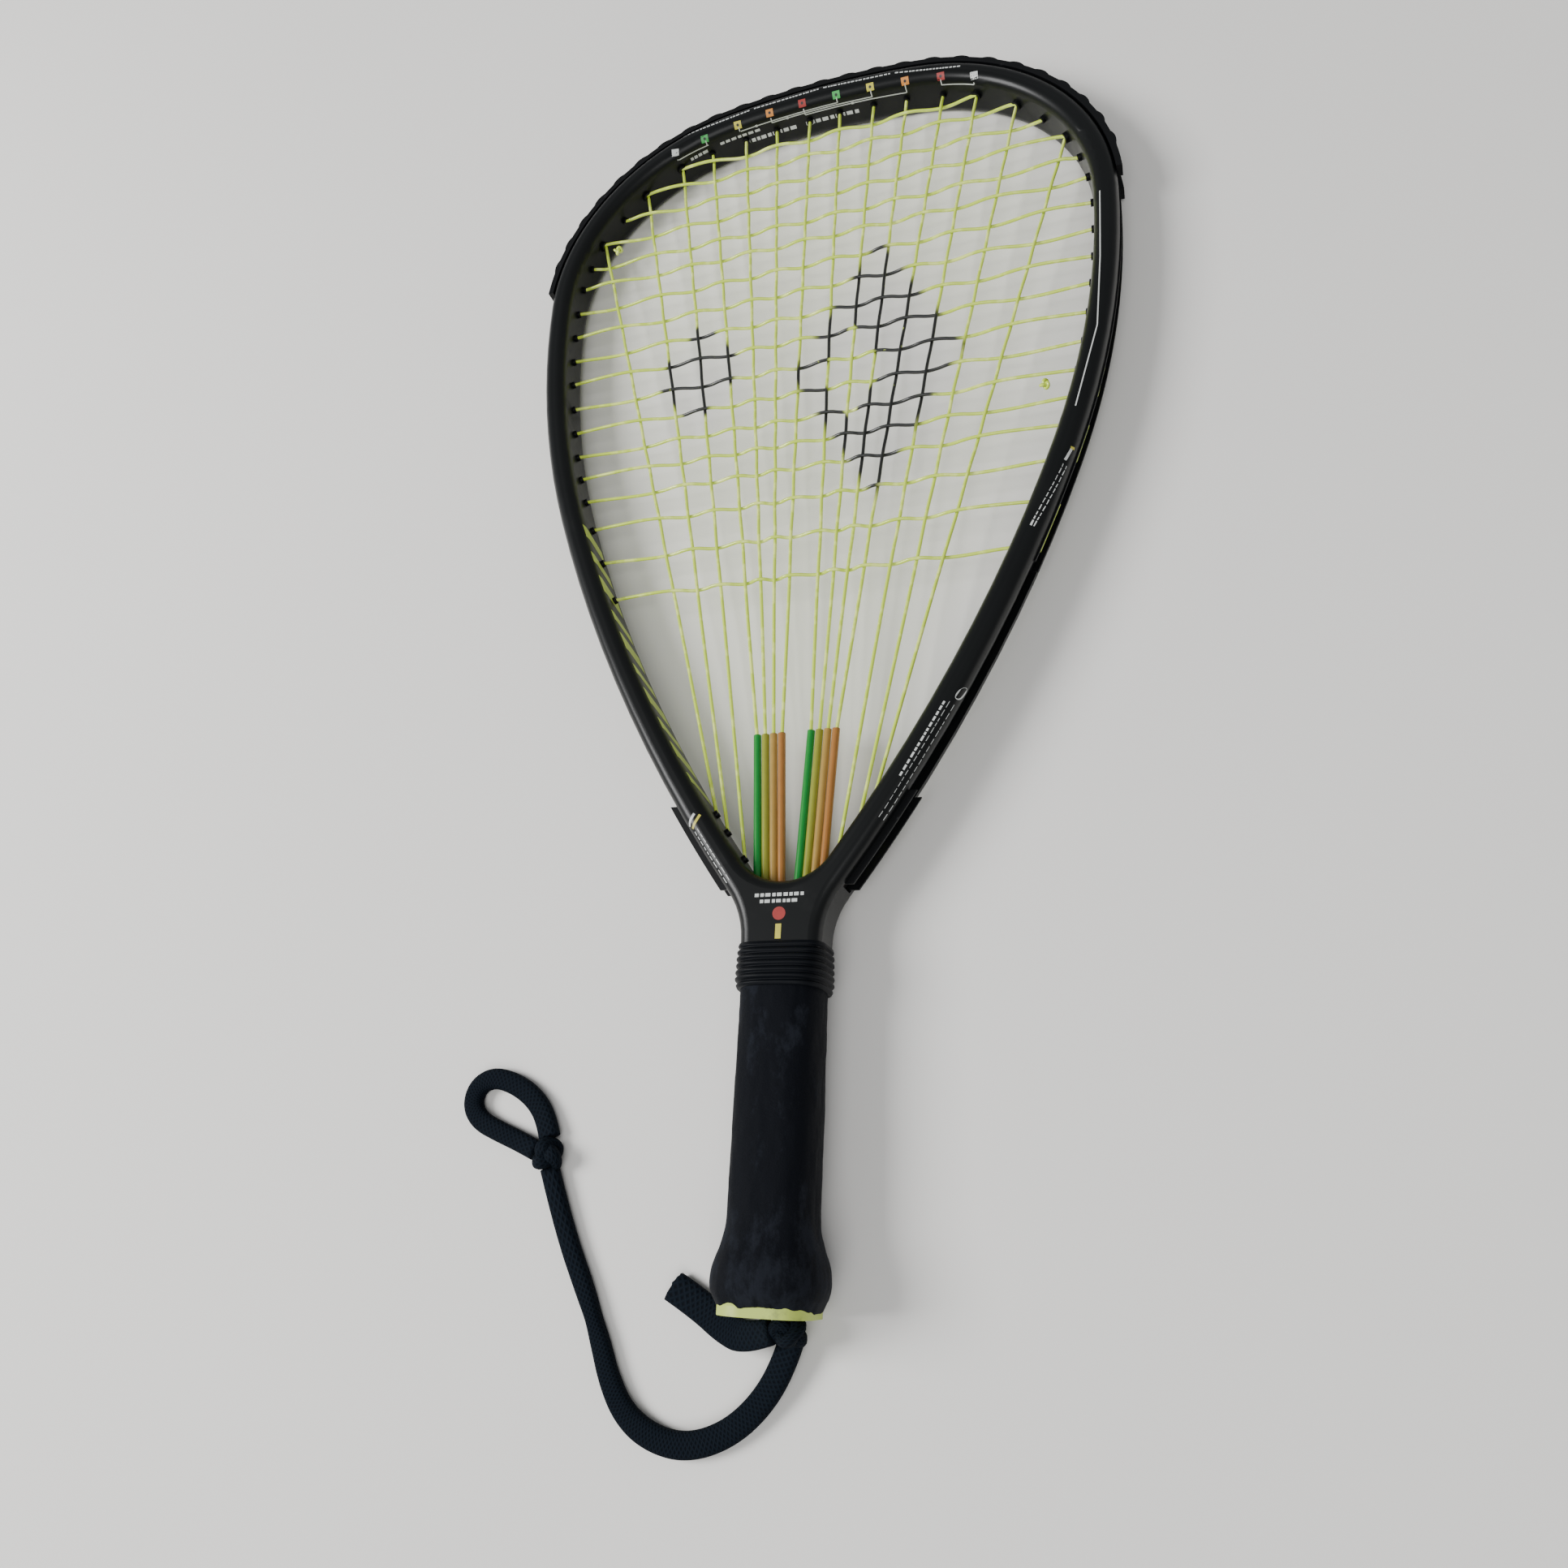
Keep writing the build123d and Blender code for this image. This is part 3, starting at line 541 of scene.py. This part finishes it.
drops = [
    (-75.6, 534.0, 532.6, 6.4), (-60.3, 539.3, 538.8, 5.7), (-42.7, 542.9, 541.9, 5.9),
    (-26.0, 545.0, 543.6, 4.9), (-9.0, 545.8, 544.4, 3.8), (8.2, 545.6, 544.8, 5.9),
    (25.4, 544.8, 543.6, 4.9), (42.4, 542.9, 542.0, 3.7), (59.8, 539.5, 538.8, 5.7),
    (75.4, 533.9, 532.6, 6.4),
]
for n, (x, top_y, low_y, low_z) in enumerate(drops):
    points = [(x, top_y, 8.0), (x, low_y, low_z)]
    stripe(f"crown_drop_{n}", points, thin_line, white_ink, pieces=4)
pinstripe = [
    (128.4, 445.8, 10.2), (126.8, 410.0, 10.3), (123.9, 374.6, 10.5), (113.7, 336.5, 10.5),
]
stripe("side_pinstripe", pinstripe, thin_line, white_ink, pieces=12)

# Slanted lime bars down the inner wall of the left leg, and rows of plain blocks on both legs.
leg_bars = [
    (-101.5, 312.0, 6.5), (-95.5, 298.0, 5.5), (-89.0, 284.0, 8.5), (-81.5, 268.0, 5.0),
    (-75.5, 255.0, 8.5), (-68.5, 241.0, 5.0), (-61.5, 228.0, 8.0), (-54.5, 215.0, 5.5),
    (-47.5, 203.0, 7.5), (-40.0, 190.0, 5.0),
]
bar_low, bar_high, bar_slant = -5.0, 9.6, 7.0
leg_inset, leg_slope = 3.0, 0.47


def leg_bar(n, x, y, length):
    """A slanted bar up the left leg's inner wall, from low on the wall to its upper edge."""
    def place(u, v):
        up = y + (u - 0.5) * length + (v - 0.5) * bar_slant
        inward = x + leg_inset - (up - y) * leg_slope
        return laid_on(on_bed(inward, up, bar_low + (bar_high - bar_low) * v))

    bent_grid(f"leg_bar_{n}", 5, 12, place, lime_ink)


for n, bar in enumerate(leg_bars):
    leg_bar(n, *bar)


shortest_block, longest_block, block_share = 0.7, 1.4, 0.72


def block_row(name, start, end, tall, seed, count):
    """A row of short plain white blocks along the frame, of uneven lengths."""
    random = Random(seed)
    cuts = [0.0]
    for _ in range(count):
        cuts.append(cuts[-1] + random.uniform(shortest_block, longest_block))
    first, last = Vector(start), Vector(end)
    for n, (low, high) in enumerate(zip(cuts, cuts[1:])):
        near, far = low / cuts[-1], (low + (high - low) * block_share) / cuts[-1]
        points = [first.lerp(last, near), first.lerp(last, far)]
        stripe(f"{name}_{n}", points, tall, white_ink, pieces=3)


slash_width = 1.1
for n, (x, y, z) in enumerate([(-37.5, 172.3, 10.2), (110.5, 314.8, 9.2)]):
    lean_in = 1 if x < 0 else -1
    slash = [(x - 2.2, y - 2.5, z), (x + 1.0, y + 3.0, z)]
    stripe(f"slash_white_{n}", slash, slash_width, white_ink)
    slash = [(x + 0.2, y - 3.1 * lean_in, z), (x + 3.4, y + 2.4, z)]
    stripe(f"slash_yellow_{n}", slash, slash_width, inks["yellow"])
block_row("right_leg_row", (109.4, 309.9, 10.4), (94.7, 283.1, 10.4), 2.0, 1, 11)
block_row("leg_word_row", (64.5, 212.0, 10.3), (38.0, 167.0, 10.3), 2.6, 2, 17)
block_row("small_row", (61.0, 213.0, 10.4), (44.0, 184.0, 10.4), 0.8, 3, 14)
block_row("left_leg_row", (-35.5, 168.5, 10.4), (-20.5, 146.5, 10.4), 2.0, 4, 9)
crown_rows = [
    [(-72.0, 543.5, 9.9), (-36.0, 549.3, 10.2)], [(-34.0, 549.6, 10.2), (0.0, 551.4, 10.3)],
    [(2.0, 551.4, 10.3), (36.0, 548.9, 10.2)], [(38.0, 548.6, 10.2), (70.0, 541.5, 10.0)],
]
for n, (start, end) in enumerate(crown_rows):
    block_row(f"crown_row_{n}", start, end, 0.8, 20 + n, 18)
block_row("inner_row_left", (-42.0, 542.0, -1.0), (-14.0, 544.6, -1.0), 2.0, 30, 9)
block_row("inner_row_right", (-10.0, 544.8, -1.0), (18.0, 544.4, -1.0), 2.0, 31, 9)
block_row("word_row_left", (-70.0, 535.0, 3.0), (-60.0, 538.5, 3.0), 1.6, 32, 4)
block_row("word_row_middle", (-54.0, 539.8, 3.4), (-32.0, 543.2, 3.4), 1.4, 33, 7)
block_row("shoulder_row", (-84.0, 538.5, 9.6), (-104.0, 525.0, 9.6), 0.8, 6, 10)
dot("leg_oval", (67.0, 216.6, 7.9), 4.0, white_ink, 24, turn=0, stretch=1.7)
block_row("throat_row_upper", (-9.7, 141.4, 10.5), (9.7, 141.4, 10.5), 1.3, 7, 9)
block_row("throat_row_lower", (-7.6, 139.0, 10.5), (7.6, 139.0, 10.5), 1.3, 8, 7)
dot("throat_dot", (0.0, 134.3, 10.5), 5.0, inks["red"], 24)
stripe("throat_bar", [(0.0, 130.4, 10.5), (0.0, 124.9, 10.5)], 2.2, inks["yellow"])

# Head guard and strips: tough moulded nylon, lying in the channel round the frame and held there by
# the strings through their barrels. They are scuffed pale where the racket has met walls.
nylon = Finish("scuffed_nylon", {"Specular IOR Level": 0.2})
scuffs = nylon.step(nylon.grain(230, 8, 0.7, nylon.place((1, 1, 2.2))), 0.6, 0.74)
patches = nylon.step(nylon.grain(26, 3), 0.5, 0.66)
rub = scuffs * patches
nylon.colour(nylon.blend(rub * 0.55, (0.0022, 0.0026, 0.0032), (0.085, 0.085, 0.09)))
nylon.rough(0.46 + rub * 0.25)
nylon.relief(nylon.grain(1500, 3) * 0.4 + scuffs * 0.4, 0.12 * mm, 0.5)
coat("head_guard", nylon)
for side in ("right", "left"):
    coat(f"side_strip_{side}", nylon)
    coat(f"bypass_strip_{side}", nylon)

# Strings: lime coated multifilament, pulled tight through the grommets. The cross strings go over and
# under the mains, and the mains nearest the middle run on down into the handle.
string_width = 1.5
string_facets = 10
row_gaps = [
    18.0, 11.6, 14.0, 13.8, 14.2, 12.5, 15.2, 15.0, 14.9, 14.2, 15.2, 14.6, 14.1, 13.0, 13.2, 16.0,
    18.5, 19.9,
]
tip_top = 550.2
rows = [tip_top - sum(row_gaps[:n + 1]) for n in range(len(row_gaps))]

lime = Finish("lime_string", {
    "Roughness": 0.22, "Coat Weight": 0.5, "Coat Roughness": 0.12, "Subsurface Weight": 0.1,
    "Subsurface Radius": (0.001, 0.001, 0.0004), "Subsurface Scale": 1.0,
})
bed_x, bed_y, _ = lime.axes(lime.place())
dashes = lime.step(lime.grain(150, 3), 0.48, 0.66)
lime_body = lime.blend(dashes, (0.60, 0.76, 0.07), (0.80, 0.92, 0.22))


def rhomb(x, y, wide, high):
    """1 inside a rhomb of the string bed with soft edges, in metres of the racket."""
    reach = (bed_x - x).size() / wide + (bed_y - y).size() / high
    return 1 - lime.step(reach, 0.86, 1.0)


stencil = rhomb(0.029, 0.107, 0.043, 0.078) - rhomb(0.018, 0.104, 0.016, 0.028)
stencil = stencil.most(rhomb(-0.056, 0.119, 0.026, 0.034))
inked = stencil * lime.step(lime.grain(300, 3), 0.2, 0.34)
lime.colour(lime.blend(inked, lime_body, (0.004, 0.005, 0.004)))
lime.rough(0.24 + inked * 0.2)


same_vertex = 1e-7
rim_depth = 0.6


def string_ends(node, axis):
    """Each string of a CAD node as its two ends in the bed's axes, low end first."""
    solid = bmesh.new()
    solid.from_mesh(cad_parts[node].data)
    bmesh.ops.remove_doubles(solid, verts=solid.verts, dist=same_vertex)
    to_bed = bed.inverted()
    ends, seen = [], set()
    for start in solid.verts:
        if start in seen:
            continue
        island, front = [], [start]
        seen.add(start)
        while front:
            vertex = front.pop()
            island.append(to_bed @ vertex.co / mm)
            for edge in vertex.link_edges:
                other = edge.other_vert(vertex)
                if other not in seen:
                    seen.add(other)
                    front.append(other)
        low, high = min(p[axis] for p in island), max(p[axis] for p in island)
        pair = []
        for limit in (low, high):
            rim = [p for p in island if abs(p[axis] - limit) < rim_depth]
            pair.append(sum(rim, Vector()) / len(rim))
        ends.append(pair)
    solid.free()
    return ends


def round_string(name, points):
    """A thin round tube along the smooth line through points of the bed."""
    line = spline_line([on_bed(*point) for point in points])
    steps = len(line) - 1
    off_axis = Vector((0.2, 0.3, 1))

    def place(u, v):
        k = round(u * steps)
        ahead = (line[min(k + 1, steps)] - line[max(k - 1, 0)]).normalized()
        side = ahead.cross(off_axis).normalized()
        top = side.cross(ahead)
        reach = string_width / 2 * mm
        return line[k] + side * (reach * cos(tau * v)) + top * (reach * sin(tau * v))

    return bent_grid(name, steps, string_facets, place, lime, tube=True)


turn_in = 1.6
main_wave = 0.8
row_clear = 6
mains = []
for node, first_rank in (("main_strings_long", 0), ("main_strings_outer", 4)):
    ends = string_ends(node, 1)
    for side in (1, -1):
        ranked = sorted(
            (pair for pair in ends if pair[1].x * side > 0), key=lambda pair: pair[1].x * side
        )
        for n, (foot, top) in enumerate(ranked, first_rank):
            mains.append((foot, top))
            points = [foot, foot.lerp(top, 0.02)]
            for row in reversed(range(len(rows))):
                if foot.y + row_clear < rows[row] < top.y - row_clear:
                    spot = foot.lerp(top, (rows[row] - foot.y) / (top.y - foot.y))
                    over = (row + n + (side > 0)) % 2
                    points.append((spot.x, spot.y, -main_wave if over else main_wave))
            points += [top - (top - foot).normalized() * turn_in, top]
            round_string(f"main_string_{side}_{n}", points)
    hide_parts(node)

over_under = 2.3
meets_clear = 4.0
for node in ("cross_strings_upper", "cross_strings_lower"):
    for low, high in string_ends(node, 0):
        row = min(range(len(rows)), key=lambda n: abs(rows[n] - (low.y + high.y) / 2))
        y = rows[row]
        crossings = []
        for foot, top in mains:
            x = foot.x + (top.x - foot.x) * (y - foot.y) / (top.y - foot.y)
            if foot.y < y and low.x + meets_clear < x < high.x - meets_clear:
                crossings.append(x)
        crossings.sort()
        points = [low, (low.x + turn_in, y, low.z)]
        middle_place = sum(x < 0 for x in crossings)
        for k, x in enumerate(crossings):
            n = k - middle_place if x > 0 else middle_place - 1 - k
            over = (row + n + (x > 0)) % 2
            points.append((x, y, over_under if over else -over_under))
        points += [(high.x - turn_in, y, high.z), high]
        round_string(f"cross_string_{row}", points)
    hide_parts(node)
coat("string_loops", lime)
coat("handle_strings", lime)

# Tie-off knots: the short ends of string, knotted round a neighbour just inside the frame. They are
# drawn like the knots of the wrist cord, in string.
tie_height = 1.6
for n, (x, y) in enumerate([(-106.5, 486.0), (101.5, 357.0), (-60.0, 545.0)]):
    knot(
        f"tie_off_{n}", on_bed(x, y, tie_height),
        bed.to_3x3() @ Matrix.Rotation(radians(40 * n), 3, "Z"), (0.62, 0.62, 0.806),
        width=1.3, thickness=1.3, steps=48, around=8, finish=lime, slot="lime_string"
    )

# Sleeves: soft clear plastic tubes, slipped over the long strings where they enter the throat. They
# damp the strings, in four colours a side, and are cut off square.
sleeve_colours = {
    "green": (0.02, 0.40, 0.06), "yellow": (0.48, 0.50, 0.06), "amber": (0.66, 0.42, 0.10),
    "orange": (0.62, 0.28, 0.07),
}
for colour, tint in sleeve_colours.items():
    soft = Finish(f"{colour}_sleeve", {
        "Roughness": 0.3, "Transmission Weight": 0.45, "IOR": 1.35, "Coat Weight": 0.3,
        "Coat Roughness": 0.2,
    })
    haze = soft.grain(260, 3)
    soft.colour(soft.blend(haze, tint, tuple(0.8 * part for part in tint)))
    for side in ("right", "left"):
        coat(f"sleeve_{side}_{colour}", soft)


# Collar: a ribbed black rubber ring, stretched over the top of the grip and the foot of the neck. It
# and the grip are skins round the bed's y axis: rounded boxes whose width and depth change.
def between(stations, y):
    """The sizes at this height, along straight runs from one station to the next."""
    low = stations[0]
    for high in stations[1:]:
        if y <= high[0]:
            share = max(0, (y - low[0]) / (high[0] - low[0]))
            return [a + (b - a) * share for a, b in zip(low[1:], high[1:])]
        low = high
    return list(stations[-1][1:])


def even_steps(low, high, count):
    return [low + (high - low) * k / count for k in range(count + 1)]


def skin(name, stations, heights, around, finish, relief, soften):
    """A closed skin. Each station is a height, a width, a depth and a squareness. relief(y, angle)
    gives how far a point moves out, and how far up, in millimetres, and soften is the reach over
    which the stations are evened out."""
    steps = len(heights) - 1
    shifts = (-1, -0.5, 0, 0.5, 1)

    def place(u, v):
        y = heights[round(u * steps)]
        parts = [between(stations, y + shift * soften) for shift in shifts]
        width, depth, square = [sum(part[k] for part in parts) / len(shifts) for k in range(3)]
        angle = tau * v
        c, s = cos(angle), sin(angle)
        out, up = relief(y, angle)
        reach = (abs(c) ** square + abs(s) ** square) ** (-1 / square)
        return on_bed((width / 2 + out) * c * reach, y + up, (depth / 2 + out) * s * reach)

    return bent_grid(name, steps, around, place, finish, tube=True)


rubber = Finish("black_rubber", {"Specular IOR Level": 0.12})
bloom = rubber.grain(70, 4)
rubber.colour(rubber.blend(bloom, (0.0012, 0.0018, 0.0032), (0.0032, 0.0042, 0.0062)))
rubber.rough(0.4 + bloom * 0.2)
rubber.relief(rubber.grain(1300, 3), 0.04 * mm, 0.5)
collar_foot, collar_head = 107.5, 124.0
groove_first, groove_pitch, groove_count = 121.9, 2.5, 6
groove_depth, groove_reach = 0.85, 0.62
bead_place, bead_height, bead_reach = 110.5, 0.25, 2.4


def collar_relief(y, angle):
    """Six round grooves with a bead between each two, and a broad bead near the foot."""
    out = bead_height * hump(y, bead_place, bead_reach)
    for n in range(groove_count):
        out -= groove_depth * hump(y, groove_first - n * groove_pitch, groove_reach)
    return out, 0


collar_stations = [
    (collar_foot, 32.6, 29.8, 2.9), (108.3, 33.8, 31.0, 2.9), (112.0, 34.4, 31.4, 3.0),
    (118.0, 34.2, 28.8, 3.4), (123.0, 33.5, 24.4, 4.2), (collar_head, 32.6, 22.6, 4.4),
]
collar = skin(
    "rubber_collar_ribs", collar_stations, even_steps(collar_foot, collar_head, 132), 96, rubber,
    collar_relief, soften=0.5
)
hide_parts("rubber_collar")

# Grip: a worn synthetic suede wrap over foam pallets, flared at the butt end where it runs over the
# cap. Its lower edge is cut by hand and a little ragged.
suede = Finish(
    "worn_suede", {"Sheen Weight": 0.02, "Sheen Roughness": 0.5, "Specular IOR Level": 0.08}
)
_, suede_y, _ = suede.axes(suede.place())
nap = suede.grain(1900, 5, 0.65)
streak = suede.grain(75, 6, 0.66, suede.place((1.6, 0.8, 1.6)))
flare_near = 1 - suede.step(suede_y, -0.262, -0.232)
dust = suede.step(streak * 0.85 + flare_near * 0.1 + nap * 0.1, 0.5, 0.66)
suede_dark = suede.blend(nap, (0.0008, 0.0012, 0.0024), (0.0034, 0.0046, 0.0078))
suede.colour(suede.blend(dust * 0.65, suede_dark, (0.015, 0.0175, 0.024)))
suede.rough(0.72 + dust * 0.14)
suede.relief(nap * 0.7 + suede.grain(330, 4) * 0.5, 0.28 * mm, 0.7)
grip_foot, flare_top, grip_top = 3.2, 28.2, 115.0
grip_stations = [
    (grip_foot, 32.6, 28.8, 2.5), (4.0, 35.6, 31.8, 2.45), (5.6, 38.4, 34.4, 2.4),
    (8.4, 40.1, 36.1, 2.4), (12.0, 40.4, 36.4, 2.4), (16.0, 38.8, 35.2, 2.4), (21.0, 34.8, 31.8, 2.5),
    (27.0, 31.4, 28.8, 2.6), (32.0, 30.8, 28.2, 2.7), (grip_top, 30.8, 28.2, 2.7),
]
fray_top = 7.0


def grip_relief(y, angle):
    """The wrap's soft lumps, and its wavy lower edge."""
    spot = Vector((3 * cos(angle), y / 16, 3 * sin(angle)))
    out = 0.3 * noise.noise(spot) + 0.16 * noise.noise(spot * 3.1)
    up = 0.0
    if y < fray_top:
        fray = noise.noise(Vector((5 * cos(angle), 0, 5 * sin(angle))))
        up = (fray_top - y) / (fray_top - grip_foot) * (0.9 * fray - 1.3 * cos(angle) ** 2)
    return out, up


grip_heights = even_steps(grip_foot, flare_top - 0.5, 49) + even_steps(flare_top, grip_top, 60)
grip = skin(
    "grip_wrap", grip_stations, grip_heights, 112, suede, grip_relief, soften=2.0
)
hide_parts("grip")

# Butt cap: stiff lime plastic, pushed over the end of the pallets. Inside the handle are the foam
# pallets, glued round the shaft, and the nylon anchor that holds the long strings' lower ends.
cap_plastic = Finish(
    "lime_cap", {"Subsurface Weight": 0.08, "Subsurface Radius": (0.002, 0.002, 0.001)}
)
cap_stain = cap_plastic.grain(160, 5, 0.6)
stained = cap_plastic.step(cap_stain, 0.5, 0.75)
cap_plastic.colour(cap_plastic.blend(stained, (0.46, 0.56, 0.10), (0.26, 0.31, 0.08)))
cap_plastic.rough(0.38 + cap_stain * 0.2)
coat("butt_cap", cap_plastic)
foam = Finish("pallet_foam", {"Roughness": 0.9, "Base Color": (0.35, 0.34, 0.3)})
coat("pallet_upper", foam)
coat("pallet_lower", foam)
anchor_nylon = Finish("anchor_nylon", {"Roughness": 0.5, "Base Color": (0.03, 0.03, 0.03)})
coat("string_anchor", anchor_nylon)
